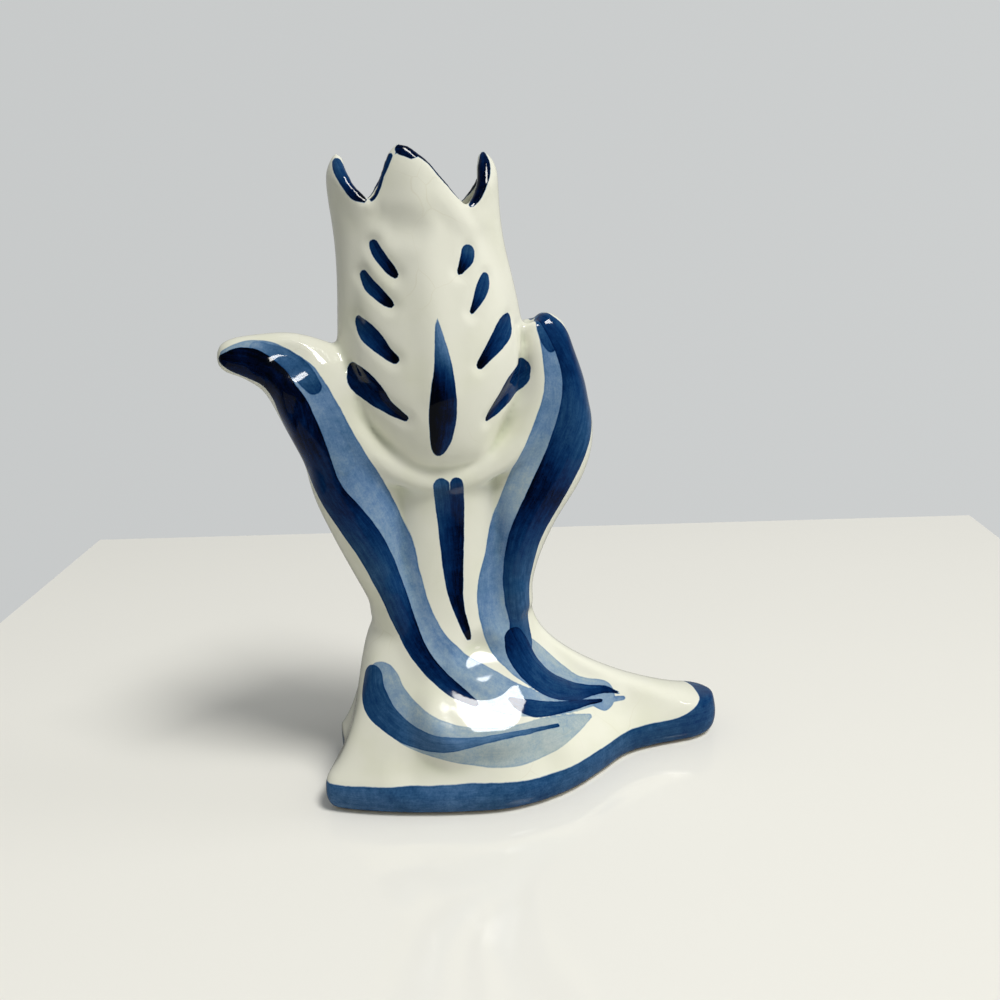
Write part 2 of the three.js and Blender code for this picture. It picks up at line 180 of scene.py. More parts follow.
slip = casting.modifiers.new("slip", "REMESH")
slip.mode = "VOXEL"
slip.voxel_size = SLIP_GRAIN
bpy.ops.object.modifier_apply(modifier=slip.name)


def sponge(rounds, group=""):
    """Smooth the skin, all of it or where a vertex group says."""
    wet = casting.modifiers.new("sponge", "SMOOTH")
    wet.factor = 0.5
    wet.iterations = rounds
    wet.vertex_group = group
    bpy.ops.object.modifier_apply(modifier=wet.name)


def skin():
    """Every skin point in mm, with the way it faces, and a finder of the nearest."""
    points = np.empty(3 * len(casting.data.vertices))
    casting.data.vertices.foreach_get("co", points)
    facing = np.empty_like(points)
    casting.data.vertices.foreach_get("normal", facing)
    finder = BVHTree.FromPolygons([v.co for v in casting.data.vertices],
                                  [p.vertices[:] for p in casting.data.polygons])
    return points.reshape(-1, 3) / MM, facing.reshape(-1, 3), finder


def trail(stations, finder):
    """A smooth run of points through the stations, laid on the skin."""
    stations = np.array(stations, float)
    ends = np.vstack([2 * stations[0] - stations[1], stations, 2 * stations[-1] - stations[-2]])
    run = []
    for a, b, c, d in zip(ends, ends[1:], ends[2:], ends[3:]):
        count = max(2, int(np.linalg.norm(c[:3] - b[:3]) / TRAIL_STEP))
        for t in np.arange(count) / count:
            run.append(0.5 * (2 * b + (c - a) * t + (2 * a - 5 * b + 4 * c - d) * t ** 2
                              + (3 * b - a - 3 * c + d) * t ** 3))
    run.append(stations[-1])
    run = np.array(run)
    outward = []
    for place in run:
        spot, way, _, _ = finder.find_nearest(Vector(place[:3]) * MM)
        place[:3] = np.array(spot) / MM
        outward.append(way)
    return run, np.array(outward)


def mould(group, lines, reach, rise):
    """Raise a soft ridge, or press a soft groove, along lines on both faces.

    reach and rise are in mm, and a rise of 0 only marks the group for the sponge."""
    points, facing, finder = skin()
    nearness = np.zeros(len(points))
    for line in lines:
        for flip in (1, -1):
            run, outward = trail([(x, flip * y, z) for x, y, z in line], finder)
            box = np.all((points > run.min(0) - reach) & (points < run.max(0) + reach), axis=1)
            chosen = np.nonzero(box)[0]
            gaps = np.linalg.norm(points[chosen, None] - run[None], axis=2)
            closest = gaps.argmin(1)
            faces = (facing[chosen] * outward[closest]).sum(1)
            soft = 0.5 + 0.5 * np.cos(np.pi * np.clip(gaps.min(1) / reach, 0, 1))
            soft *= np.clip(TURN_FADE * faces, 0, 1)
            nearness[chosen] = np.maximum(nearness[chosen], soft)
    marks = casting.vertex_groups.new(name=group)
    for index in np.nonzero(nearness > FAINTEST_TOUCH)[0]:
        marks.add([int(index)], float(nearness[index]), "REPLACE")
    if rise:
        push = casting.modifiers.new(group, "DISPLACE")
        push.strength = rise * MM
        push.mid_level = 0
        push.vertex_group = group
        bpy.ops.object.modifier_apply(modifier=push.name)


def pat(x, y, z, lean, reach, firm, faces=(1, -1), fill=True):
    """Pat the clay flat round a spot facing along lean; fill raises what is lower too.

    The spot and reach are in mm. faces is (1, -1) for both sides, (-1,) for the back alone."""
    points, facing, _ = skin()
    for flip in faces:
        flat = np.array([lean[0], flip * lean[1], lean[2]], float)
        flat /= np.linalg.norm(flat)
        away = points - [x, flip * y, z]
        height = away @ flat
        aside = np.linalg.norm(away - height[:, None] * flat, axis=1)
        touch = firm * (0.5 + 0.5 * np.cos(np.pi * np.clip(2 * aside / reach - 1, 0, 1)))
        touch *= np.clip(PAT_TURN_FADE * (facing @ flat), 0, 1) * (np.abs(height) < PAT_DEPTH)
        if not fill:
            height = np.maximum(height, 0)
        points -= (touch * height)[:, None] * flat
    casting.data.vertices.foreach_set("co", (points * MM).ravel())
    casting.data.update()


INSTEP_LEAN = (0.065, -0.70, 0.71)
COLLAR_PROUD = 4
sponge(rounds=5)
mould("leaf_ends", [[(-16, -10, 53), (-14, -10, 44), (-12, -12, 38)],
                    [(15, -10, 54), (14, -10, 46), (15, -10, 38)]], reach=12, rise=0)
sponge(rounds=60, group="leaf_ends")
mould("collar", [[(x, -y - COLLAR_PROUD, z) for x, y, z, _ in COLLAR[2:-2]]], reach=9, rise=0)
sponge(rounds=30, group="collar")
mould("keel", [[(-6, -10.8, 159), (-5, -11.5, 153), (-4.9, -12.5, 145), (-4.4, -14, 134),
                (-3.4, -15.6, 121), (-2.8, -16.8, 108)]], reach=7, rise=0.7)
mould("flank", [[(-14, -10.3, 147.5), (-10.5, -11, 147), (-7, -11.8, 146.5)]], reach=6.5, rise=-1.1)
mould("shoulders", [[(-22, -6, 158), (-20, -7.6, 154), (-17.5, -8.8, 150), (-15.5, -9.8, 146.5)],
                    [(0.5, -10.6, 152.5), (4, -10.2, 149), (7.5, -9.8, 146.5), (10, -9.2, 147.5)]],
      reach=4.5, rise=0.6)
pat(-38.9, -7.5, 114.9, lean=(0.11, -0.66, 0.75), reach=8, firm=0.75)
mould("tails", [[(-16.8, -10.4, 55.9), (-13.5, -10.4, 43.7), (-11, -12.4, 38), (-7, -14, 33.5),
                 (-2, -17.5, 30.5), (4, -20, 28.5), (12, -19.5, 25.5), (22, -16.5, 21.5),
                 (32, -11.5, 18.5), (42, -7, 17)],
                [(16, -9.9, 51.7), (15.5, -9.5, 44), (15.5, -10.5, 37), (18, -11.8, 31),
                 (23, -11.8, 26), (29, -10, 22.5), (36, -7.5, 19.8), (43, -6, 17.5)]],
      reach=5.5, rise=0.8)
mould("foot_front", [[(-16, -25.5, 13), (-8, -28.5, 13.5), (0, -30, 14), (8, -29, 14),
                      (16, -25.5, 13.5)]], reach=10, rise=-2.0)
pat(-3.8, -22.4, 26.4, INSTEP_LEAN, reach=13, firm=0.9)
pat(6.5, -21.9, 26.0, INSTEP_LEAN, reach=13, firm=0.9)
pat(4, -15, 35.2, INSTEP_LEAN, reach=9, firm=0.85)
pat(-31.8, -13, 9, lean=(-1, 0, 0), reach=15, firm=0.9, faces=(-1,), fill=False)
sponge(rounds=3)
bpy.ops.object.shade_smooth()

# The bloom's brushwork: four pressed strokes up each side and a tall spear in
# the middle, and cobalt along the cut lip, all under the glaze.

# The strokes' stations were cast onto this skin from traced lines, and a few then adjusted.
LEFT_STROKES = [[
    (-15.8, -8.9, 143, 1.2, 0.8), (-15.2, -9.6, 141.4, 1.4, 0.82), (-13.9, -10.7, 139.2, 1.4, 0.86),
    (-12.6, -11.5, 137.3, 1.3, 0.96), (-11.6, -12, 136, 0.8, 1),
], [
    (-18.5, -7.8, 136.1, 1.2, 0.8), (-17.5, -9.2, 134, 1.7, 0.82), (-15.6, -11, 131.7, 1.5, 0.86),
    (-14, -12.1, 130, 1.2, 0.97), (-13.1, -12.6, 129.2, 0.7, 1),
], [
    (-20.4, -7.7, 125.3, 1.4, 0.78), (-19, -10, 123, 2.4, 0.8), (-16.9, -11.8, 120.6, 2.2, 0.83),
    (-15, -13.1, 118.2, 1.5, 0.9), (-13.2, -14.1, 116.5, 1.1, 1),
], [
    (-22.6, -6.5, 113.8, 1.6, 0.92), (-21, -8.9, 111.3, 3.5, 0.91), (-18.6, -11.1, 108.7, 3.2, 0.92),
    (-16.1, -12.5, 105.7, 2, 0.88), (-13.7, -13.5, 103.7, 1.4, 0.92), (-11.7, -14.1, 102.2, 0.9, 0.97),
]]
RIGHT_STROKES = [[
    (6.1, -10.9, 140.3, 1.8, 0.72), (5.7, -11.3, 138.9, 1.8, 0.8), (4.6, -12, 137.2, 1.2, 0.92),
    (3.7, -12.5, 135.9, 0.7, 1),
], [
    (10.1, -10.6, 134.2, 1.2, 0.72), (9.3, -11.5, 132.3, 1.8, 0.76), (8.3, -12.4, 130.3, 1.6, 0.82),
    (7, -13.2, 128.1, 1, 0.9), (5.9, -13.9, 126.5, 0.6, 0.97),
], [
    (15.7, -9, 123.7, 1.5, 0.78), (14.2, -10.7, 121.8, 2.8, 0.78), (11.9, -12.6, 118.9, 2.4, 0.82),
    (9.4, -14, 116.3, 1.7, 0.88), (7.2, -14.9, 113.9, 1.1, 1),
], [
    (19.7, -5, 111.9, 1.4, 0.76), (18.7, -6, 109.8, 3.2, 0.79), (15.9, -9.3, 107.4, 3.5, 0.82),
    (13.1, -11.1, 104.5, 2.6, 0.85), (10.4, -12.2, 101.8, 1.7, 0.88), (8.8, -12.7, 100.1, 0.7, 0.96),
]]
SPEAR = [
    (-3.1, -16.3, 126.3, 0.1, 0.45), (-2.8, -16.9, 122.1, 1, 0.5), (-2.4, -17.3, 117.8, 1.7, 0.6),
    (-2.3, -17.7, 113.1, 2.4, 0.78), (-2.5, -17.8, 108.3, 3.1, 0.92), (-2.8, -17, 103.4, 3.4, 0.96),
    (-3.2, -16, 98.3, 3, 0.94), (-3.8, -14.8, 94.4, 2, 0.92), (-4, -14.1, 92.8, 1, 0.9),
]
mould("pressed", [[station[:3] for station in stroke] for stroke in LEFT_STROKES + RIGHT_STROKES],
      reach=3.6, rise=-0.75)
sponge(rounds=2)
skin_points, skin_facing, skin_finder = skin()
BARE = -50.0
THINNEST = 0.05
MARGIN = 3
TURNED_COST = 5
HAIR_REACH = 1.5
coats = {name: {"edge": np.full(len(skin_points), BARE), "load": np.zeros(len(skin_points))}
         for name in ("wash", "second", "stroke", "ink")}
hair_along = np.zeros(len(skin_points))
hair_across = np.zeros(len(skin_points))


def brush(coat, stations, lean=0.0, wrap=0.2, faces=(1, -1)):
    """One stroke: stations of x, y, z, half width in mm, and how loaded the brush is.

    lean puts more pigment on the stroke's right side, wrap says how far round an edge
    the brush reaches, and faces is (1,) for the front alone or (-1,) for the back."""
    for flip in faces:
        run, outward = trail([(x, flip * y, z, wide, load) for x, y, z, wide, load in stations],
                             skin_finder)
        place, wide, load = run[:, :3], np.maximum(run[:, 3], THINNEST), run[:, 4]
        margin = wide.max() + MARGIN
        box = np.all((skin_points > place.min(0) - margin) & (skin_points < place.max(0) + margin), axis=1)
        chosen = np.nonzero(box)[0]
        spots = skin_points[chosen]
        edge = np.full(len(chosen), BARE)
        loaded, along, across = np.zeros(len(chosen)), np.zeros(len(chosen)), np.zeros(len(chosen))
        travelled = 0.0
        for i in range(len(place) - 1):
            step = place[i + 1] - place[i]
            length = max(np.linalg.norm(step), 1e-6)
            t = np.clip((spots - place[i]) @ step / length ** 2, 0, 1)
            off = spots - place[i] - t[:, None] * step
            inside = wide[i] + t * (wide[i + 1] - wide[i]) - np.linalg.norm(off, axis=1)
            turned = np.maximum(0, wrap - skin_facing[chosen] @ outward[i])
            inside -= TURNED_COST * turned
            side = off @ np.cross(step / length, outward[i]) * flip
            better = inside > edge
            edge[better] = inside[better]
            width = wide[i] + t * (wide[i + 1] - wide[i])
            heavy = load[i] + t * (load[i + 1] - load[i]) + lean * np.clip(side / width, -1, 1)
            loaded[better] = heavy[better]
            along[better] = (travelled + t * length)[better]
            across[better] = side[better]
            travelled += length
        layer = coats[coat]
        over = edge > layer["edge"][chosen]
        layer["edge"][chosen[over]] = edge[over]
        layer["load"][chosen[over]] = loaded[over]
        nearer = over & (edge > -HAIR_REACH)
        hair_along[chosen[nearer]] = along[nearer]
        hair_across[chosen[nearer]] = across[nearer]


for stations in LEFT_STROKES:
    brush("stroke", stations, lean=-0.04)
for stations in RIGHT_STROKES:
    brush("stroke", stations, lean=0.05)
brush("stroke", SPEAR, lean=0.12)

LIP = [[
    (-22.5, -2.7, 162.1, 1.2, 0.72), (-22.1, -4.3, 160.7, 1.7, 0.72), (-21.4, -6, 158.8, 1.7, 0.76),
    (-20.3, -7.1, 156.7, 1.7, 0.84), (-19, -7.9, 154.8, 1.7, 0.92), (-17.4, -8.6, 153.3, 0.8, 0.95),
], [
    (-15.5, -8.8, 153.4, 0.6, 0.86), (-14.3, -8.8, 155.7, 0.9, 0.84), (-13.1, -8.7, 158, 0.9, 0.82),
    (-11.9, -9.2, 160.5, 0.9, 0.82), (-10.8, -9.4, 162.7, 0.8, 0.82),
], [
    (-8.9, -9.7, 164.3, 0.6, 0.9), (-8, -9.9, 164.2, 1.5, 0.92), (-7, -10.1, 163.8, 1.5, 0.92),
    (-5.9, -10.4, 163, 1.2, 0.92),
], [
    (13, -0.7, 162.7, 0.7, 0.86), (12.6, -3, 160.8, 1.5, 0.92), (12.2, -4.4, 158.9, 1.7, 0.96),
    (11.4, -5.6, 156.5, 1.6, 0.96), (10.2, -6.9, 154.1, 1.4, 0.93), (8.8, -8, 152, 1.1, 0.88),
    (7.9, -8.6, 150.9, 0.6, 0.84),
]]
LIP_SLOPE = [(-5.2, -9.3, 163.8, 1.3, 0.92), (-2.2, -9.3, 161.2, 1.2, 0.92), (2.2, -9.3, 155.9, 1.0, 0.9),
             (4.2, -8.9, 152.8, 0.8, 0.9)]
for stations in LIP:
    brush("stroke", stations, wrap=0.1)
brush("stroke", LIP_SLOPE, wrap=-0.4)

# The stem's brushwork: one long stroke with a forked head, from under the
# bloom down to the top of the foot.
STEM_STROKE = [
    (-3.4, -11.2, 83.6, 2, 0.68), (-2.9, -9.9, 79.5, 2.1, 0.74), (-2.5, -9.6, 73, 2, 0.8),
    (-2.3, -9.9, 66.1, 1.9, 0.84), (-2.1, -10.5, 59.5, 1.7, 0.88), (-1.3, -11.2, 53.6, 1.7, 0.92),
    (-0.2, -11.9, 48.7, 1.3, 0.94), (0.8, -12.8, 44.8, 1, 0.95), (1.5, -12.5, 42.3, 0.7, 0.97),
]
STEM_FORK = [
    (0.5, -11.3, 83.7, 1.7, 0.78), (0.8, -9.8, 79.1, 1.8, 0.86), (0.7, -9.6, 72.7, 1.6, 0.9),
    (0.4, -9.9, 65.8, 1.4, 0.92), (0, -10.6, 59.3, 1.2, 0.94), (-0.2, -11.2, 53.5, 1, 0.95),
    (0.4, -12, 47.9, 0.7, 0.95),
]
brush("stroke", STEM_STROKE, lean=-0.05)
brush("stroke", STEM_FORK)

# The left leaf curls outwards. A pale wash covers it, a loaded stroke follows
# its outer edge, and both sweep on over the foot towards the toe.
LEFT_WASH = [
    (-53, -3.1, 119, 1, 0.3), (-46.9, -4.4, 119.8, 2.7, 0.33), (-41.4, -5.6, 117.5, 3.8, 0.37),
    (-37, -7.5, 114, 4.4, 0.41), (-33.8, -9.2, 109, 4.7, 0.43), (-31.5, -10.1, 103.3, 5.1, 0.45),
    (-29.4, -10.4, 97.3, 5.5, 0.45), (-27, -10.4, 91.3, 5.9, 0.44), (-24.1, -10.3, 85.4, 6.1, 0.43),
    (-20.8, -9.9, 79.3, 6, 0.43), (-17.8, -9.3, 73.1, 5.8, 0.42), (-15.8, -8.7, 66.7, 5.4, 0.41),
    (-14.3, -8.8, 60, 4.8, 0.39), (-12.5, -9.6, 53.3, 4.2, 0.38), (-10.3, -11.2, 47, 3.9, 0.38),
    (-7.5, -13.2, 41.3, 4, 0.38), (-3.4, -15.5, 36.5, 4.5, 0.37), (1.5, -17.5, 32.6, 5, 0.34),
    (6.9, -19.4, 29.1, 5, 0.33), (13.1, -20.3, 26.2, 4.2, 0.32), (20.4, -18.9, 23.3, 2.9, 0.31),
    (28.5, -14.8, 20.3, 1.9, 0.33), (37.3, -9.1, 17.4, 1.1, 0.37), (45.6, -6.5, 15.9, 0.6, 0.42),
]
LEFT_EDGE = [
    (-53.4, -2.9, 117.7, 1.2, 0.97), (-48.7, -4.6, 116.8, 3.8, 0.95), (-44.9, -6.6, 115.1, 4.1, 0.95),
    (-41.8, -8.3, 112, 4.2, 0.94), (-39.5, -9, 107.5, 4.6, 0.93), (-38.1, -8.4, 102.4, 5.5, 0.91),
    (-36.7, -7.5, 97.1, 6.2, 0.88), (-34.8, -7.3, 92.1, 5.7, 0.85), (-32.9, -7.8, 87.3, 4.8, 0.84),
    (-30.6, -8.7, 82.6, 4.4, 0.84), (-27.7, -9.7, 78, 4.4, 0.82), (-24.7, -10.2, 73.5, 4.4, 0.8),
    (-21.9, -10.4, 68.6, 4.2, 0.77), (-19.6, -10.5, 63.4, 4, 0.74), (-17.7, -10.7, 58, 3.8, 0.73),
    (-16.1, -10.8, 52.5, 3.4, 0.77), (-14.5, -11.2, 47.1, 2.9, 0.83), (-12.8, -12.5, 42.2, 2.6, 0.86),
    (-10.3, -14.3, 37.8, 2.3, 0.86), (-7.1, -16.3, 33.8, 2.1, 0.84), (-3.4, -18.5, 30.4, 1.9, 0.82),
    (0.8, -20.7, 27.7, 1, 0.8),
]
LEFT_OVERLAP = [
    (-45.1, -4.4, 120.4, 1.6, 0.42), (-41.9, -4.7, 119.4, 1.5, 0.52), (-39, -5.1, 117.7, 2.3, 0.6),
    (-36.6, -6.6, 115.7, 2.7, 0.64), (-34.5, -8.3, 113.3, 2.6, 0.66), (-32.6, -9, 110.6, 2, 0.74),
]
brush("wash", LEFT_WASH, lean=-0.05, wrap=-0.1)
brush("second", LEFT_OVERLAP)
brush("stroke", LEFT_EDGE, lean=-0.05, wrap=-0.3)

# The right leaf stands close to the bloom and is painted in the same way, with
# a fresh stroke laid over its tail and a short one between the two tails.
# The wash's load dips about 77 to 87 mm up: partly painted light, a lighter wash standing in for a
# reflection on the leaf's inner side.
RIGHT_WASH = [
    (25.6, -1.6, 122.7, 1.6, 0.6), (26.7, -5.8, 117.8, 2.4, 0.49), (27.7, -7.5, 112.8, 3, 0.45),
    (28.2, -8.9, 107.6, 3.5, 0.44), (27.7, -9.9, 102.4, 4, 0.43), (26.2, -10.2, 97.2, 4.6, 0.41),
    (24.2, -10.1, 92.2, 4.9, 0.38), (21.8, -9.9, 87.2, 5, 0.34), (19.1, -9.6, 82.1, 4.9, 0.31),
    (16.6, -9.2, 77, 4.8, 0.32), (14.5, -8.7, 71.9, 4.8, 0.38), (13.2, -8.5, 66.5, 4.9, 0.44),
    (11.7, -8.7, 60.9, 5.1, 0.45), (10.2, -9.3, 55.4, 5.4, 0.43), (9.7, -10.2, 49.7, 5.4, 0.39),
    (10.3, -11.5, 44.1, 5, 0.36), (12.5, -12.5, 39, 5.3, 0.34), (16.9, -12.5, 34.5, 6.5, 0.33),
    (21.8, -11.7, 30.2, 7, 0.33), (26.8, -10.5, 25.8, 5.9, 0.34), (32.5, -8.7, 21.6, 4.1, 0.36),
    (38.7, -7.5, 18.2, 4.4, 0.38),
]
RIGHT_EDGE = [
    (26.6, -2.7, 122.7, 2, 0.78), (29.8, -5, 118.9, 3.2, 0.78), (32, -6, 114.3, 4, 0.8),
    (33.6, -6.9, 109.4, 4.9, 0.77), (34.4, -7.9, 104.2, 5.8, 0.74), (34, -9, 99, 6.3, 0.71),
    (32.4, -9.9, 94, 6.2, 0.71), (30.2, -10.3, 89.3, 5.8, 0.76), (27.8, -10.4, 84.7, 5.5, 0.84),
    (25.3, -10.4, 80.1, 5.4, 0.9), (22.8, -10.4, 75.6, 5.2, 0.88), (20.2, -10.4, 71.1, 4.9, 0.84),
    (18.1, -10.4, 66.4, 4.7, 0.78), (16.9, -10.2, 61.2, 4.6, 0.73), (16.2, -10.3, 55.8, 4.4, 0.69),
    (16, -10.2, 50.3, 4.2, 0.67), (16.6, -9.4, 44.3, 4, 0.68), (16.5, -10.4, 39.7, 4.5, 0.7),
]
RIGHT_OVERLAP = [
    (26.5, -2.3, 122.8, 2.1, 0.66), (27.1, -4.5, 120.3, 3.2, 0.68), (27.4, -5.7, 118, 3, 0.74),
    (27.1, -6.7, 115.6, 1.3, 0.78),
]
RIGHT_TAIL = [
    (14, -11.7, 40.1, 3.1, 0.86), (15.4, -12.7, 36.6, 4.4, 0.82), (17.1, -13.6, 33.2, 4.3, 0.78),
    (19.4, -14.1, 30.1, 4.3, 0.75), (22.4, -14, 27.1, 4.1, 0.74), (26.4, -12.5, 24.4, 3.6, 0.74),
    (30.9, -10.1, 21.9, 2.8, 0.76), (35.7, -7.5, 20.1, 1.6, 0.8), (40.3, -6.3, 19.2, 1, 0.84),
    (44.3, -6.3, 17.5, 0.3, 0.88),
]
BETWEEN_TAILS = [
    (9.5, -20.1, 27.7, 0.2, 0.84), (12.4, -21.4, 26, 1.6, 0.82), (15.8, -21.8, 24.6, 2.3, 0.78),
    (20, -20, 23, 2, 0.76), (24.4, -17.8, 21.7, 1.6, 0.76), (29, -14.7, 20.2, 1.3, 0.8),
    (33.8, -11.2, 18.6, 0.9, 0.84), (38.5, -8.5, 17.1, 0.5, 0.9),
]
brush("wash", RIGHT_WASH, lean=0.05, wrap=-0.1)
brush("second", RIGHT_OVERLAP)
brush("stroke", RIGHT_EDGE, lean=0.05, wrap=-0.4)
brush("ink", RIGHT_TAIL, lean=0.03)
brush("stroke", BETWEEN_TAILS, lean=0.03)

# The foot: a pale comma with a darker one over it, and a mid-blue band round
# the edge that dips and swells a little as the wheel is turned by hand.
FOOT_WASH = [
    (-21.6, -9.7, 36.8, 0.2, 0.34), (-22, -11.1, 33.1, 4.6, 0.34), (-21.1, -12.8, 29.7, 5.1, 0.34),
    (-19.6, -14.8, 26.7, 5.3, 0.33), (-17.4, -17.2, 24.3, 5.4, 0.31), (-15.1, -20.1, 22.7, 5.5, 0.3),
    (-12.5, -23.2, 21.6, 5.4, 0.3), (-9.1, -25.7, 20.7, 5.3, 0.29), (-5.1, -27, 19.5, 5.3, 0.28),
    (-1, -27.3, 18.4, 5.3, 0.28), (2.9, -27.3, 17.7, 5.4, 0.27), (7, -27.1, 17.3, 5.4, 0.26),
    (11, -26.3, 17.1, 5.4, 0.25), (15.1, -24.8, 17, 5.2, 0.25), (19.4, -23.2, 17, 4.5, 0.24),
    (23.8, -21.1, 17, 3.5, 0.24), (28.5, -18, 16.6, 2.3, 0.26), (33.6, -13.9, 15.8, 0.6, 0.3),
]
FOOT_COMMA = [
    (-24.2, -9.4, 33.5, 3.2, 0.7), (-24.5, -10.7, 30.4, 3.6, 0.72), (-23.3, -12.9, 26.5, 3.8, 0.71),
    (-21.3, -15.1, 23.9, 3.3, 0.68), (-18.8, -17.5, 21.9, 2.9, 0.65), (-16, -20.1, 20.6, 2.8, 0.62),
    (-12.9, -23, 20.1, 2.7, 0.6), (-9.6, -25.5, 20, 2.4, 0.57), (-5.9, -26.9, 20.1, 1.9, 0.55),
    (-2.1, -27.3, 20.2, 1.4, 0.54), (1.7, -27.2, 20.3, 1, 0.53), (5.6, -27, 20.5, 0.8, 0.54),
    (9.6, -26.4, 20.4, 0.7, 0.56), (13.8, -25, 19.9, 0.7, 0.59), (18.2, -22.9, 19, 0.5, 0.66),
    (22.6, -21.3, 18.4, 0.5, 0.76),
]
BACK_START = 5
for coat, comma, lean in (("wash", FOOT_WASH, 0), ("stroke", FOOT_COMMA, 0.04)):
    brush(coat, comma, lean, faces=(1,))
    brush(coat, comma[BACK_START:], lean, faces=(-1,))

BAND_HEIGHT = 8.4
BAND_DIP = 0.3
BAND_SWELL = 0.2
BAND_START = 0.9
BAND_LOAD = 0.64
LOAD_WAVE = 0.03
LOAD_TOWARDS_TOE = 0.06
HALF_LENGTH = 50
TOE_LIFT = 4.8
TOE_LIFT_FROM = 58
TOE_LIFT_RUN = 12
FOOT_RADIUS = 38
HAIRS_BELOW = 12
x, y, z = skin_points.T
turn = np.arctan2(y, x)
band_top = BAND_HEIGHT + BAND_DIP * np.sin(3 * turn + 0.6) + BAND_SWELL * np.sin(7 * turn) \
    + TOE_LIFT * np.clip((x - TOE_LIFT_FROM) / TOE_LIFT_RUN, 0, 1) ** 2
band = np.minimum(band_top - z, z - BAND_START)
second = coats["second"]
over = band > second["edge"]
second["edge"][over] = band[over]
second["load"][over] = (BAND_LOAD + LOAD_WAVE * np.sin(5 * turn + 1)
                        + LOAD_TOWARDS_TOE * np.clip(x / HALF_LENGTH, -1, 1))[over]
low = over & (z < HAIRS_BELOW)
hair_along[low] = (FOOT_RADIUS * turn)[low]
hair_across[low] = z[low]

# How deep in a hollow each skin point lies, in mm: the glaze is tinted darker and greener there, partly
# for glaze pooling and partly as painted shade in creases and under the bloom.
EASING_ROUNDS = 24
links = np.empty(2 * len(casting.data.edges), dtype=np.int64)
casting.data.edges.foreach_get("vertices", links)
ends = links.reshape(-1, 2)
ends = np.vstack([ends, ends[:, ::-1]])
count = np.bincount(ends[:, 0], minlength=len(skin_points))[:, None]
eased = skin_points.copy()
for _ in range(EASING_ROUNDS):
    eased = np.column_stack([np.bincount(ends[:, 0], eased[ends[:, 1], axis], len(eased))
                             for axis in range(3)]) / count
hollow = ((eased - skin_points) * skin_facing).sum(1)
marks = casting.data.attributes.new("hollow", "FLOAT", "POINT")
marks.data.foreach_set("value", hollow.astype(np.float32))

MARK_LIMIT = 20
for name, coat in coats.items():
    for part in ("edge", "load"):
        marks = casting.data.attributes.new(name + "_" + part, "FLOAT", "POINT")
        marks.data.foreach_set("value", np.clip(coat[part], -MARK_LIMIT, MARK_LIMIT).astype(np.float32))
for name, values in (("hair_along", hair_along), ("hair_across", hair_across)):
    marks = casting.data.attributes.new(name, "FLOAT", "POINT")
    marks.data.foreach_set("value", values.astype(np.float32))

# The glaze: clear and glossy over cream earthenware. The cobalt lies under it,
# streaked by the brush, mottled where thin and nearly black where it pooled.


class Tone:
    """A shader socket that sums can be written on; Tone.node adds any other node."""
    tree = None

    def __init__(self, socket):
        self.socket = socket

    @classmethod
    def node(cls, kind, settings, sockets, out=0):
        made = cls.tree.nodes.new(kind)
        for name, value in settings.items():
            if name == "stops":
                stops = made.color_ramp.elements
                while len(stops) < len(value):
                    stops.new(0.5)
                for stop, (place, colour) in zip(stops, value):
                    stop.position = place
                    stop.color = (*colour, 1)
            else:
                setattr(made, name, value)
        for name, value in sockets.items():
            if isinstance(value, Tone):
                cls.tree.links.new(value.socket, made.inputs[name])
            else:
                made.inputs[name].default_value = value
        return cls(made.outputs[out])

    @classmethod
    def mark(cls, name):
        return cls.node("ShaderNodeAttribute", {"attribute_name": name}, {}, "Fac")

    def sum(self, how, a, b):
        return Tone.node("ShaderNodeMath", {"operation": how}, {0: a, 1: b})

    def __add__(self, other):
        return self.sum("ADD", self, other)

    def __sub__(self, other):
        return self.sum("SUBTRACT", self, other)

    def __rsub__(self, other):
        return self.sum("SUBTRACT", other, self)

    def __mul__(self, other):
        return self.sum("MULTIPLY", self, other)

    __radd__ = __add__
    __rmul__ = __mul__

    def between(self, low, high):
        return Tone.node("ShaderNodeMapRange", {"interpolation_type": "SMOOTHSTEP"},
                         {"Value": self, "From Min": low, "From Max": high})


glaze = bpy.data.materials.new("painted_glaze")
glaze.use_nodes = True
Tone.tree = glaze.node_tree
shader = glaze.node_tree.nodes["Principled BSDF"]
place = Tone.node("ShaderNodeTexCoord", {}, {}, "Object")


def cloud(scale, detail=2.0, at=place, rough=0.5):
    """Soft noise about nought; scale is in lumps per metre, or per mm for hairs."""
    return Tone.node("ShaderNodeTexNoise", {}, {"Vector": at, "Scale": scale, "Detail": detail,
                                                "Roughness": rough}) - 0.5


HAIR_STRETCH = 0.10
FINE_SHARE = 0.6
RIM_LOAD = 0.06
hairs = Tone.node("ShaderNodeCombineXYZ", {}, {"X": Tone.mark("hair_along") * HAIR_STRETCH,
                                               "Y": Tone.mark("hair_across"), "Z": 0.0})
streaks = cloud(1.1, 3.0, hairs, 0.6)
fine_streaks = cloud(4.0, 3.0, hairs, 0.6)
puddles = cloud(140.0, 3.0)
curds = cloud(480.0, 3.0, rough=0.6)
grain = cloud(1900.0, 3.0, rough=0.75)
wobble = cloud(300.0, 2.0) * 0.35 + cloud(1500.0, 2.0) * 0.1

pigment = None
for coat, soft, streaky, mottled in (("wash", 0.16, 0.12, 0.17), ("second", 0.20, 0.16, 0.18),
                                     ("stroke", 0.13, 0.22, 0.12), ("ink", 0.13, 0.22, 0.12)):
    edge = Tone.mark(coat + "_edge") + wobble
    cover = edge.between(-soft, soft)
    heavy = Tone.mark(coat + "_load") + streaks * streaky + fine_streaks * (FINE_SHARE * streaky) \
        + puddles * mottled + curds * mottled + grain * mottled
    rim = 1 - edge.between(0.05, 0.5)
    heavy = heavy + rim * RIM_LOAD
    pigment = cover * heavy if pigment is None else pigment + (heavy - pigment) * cover

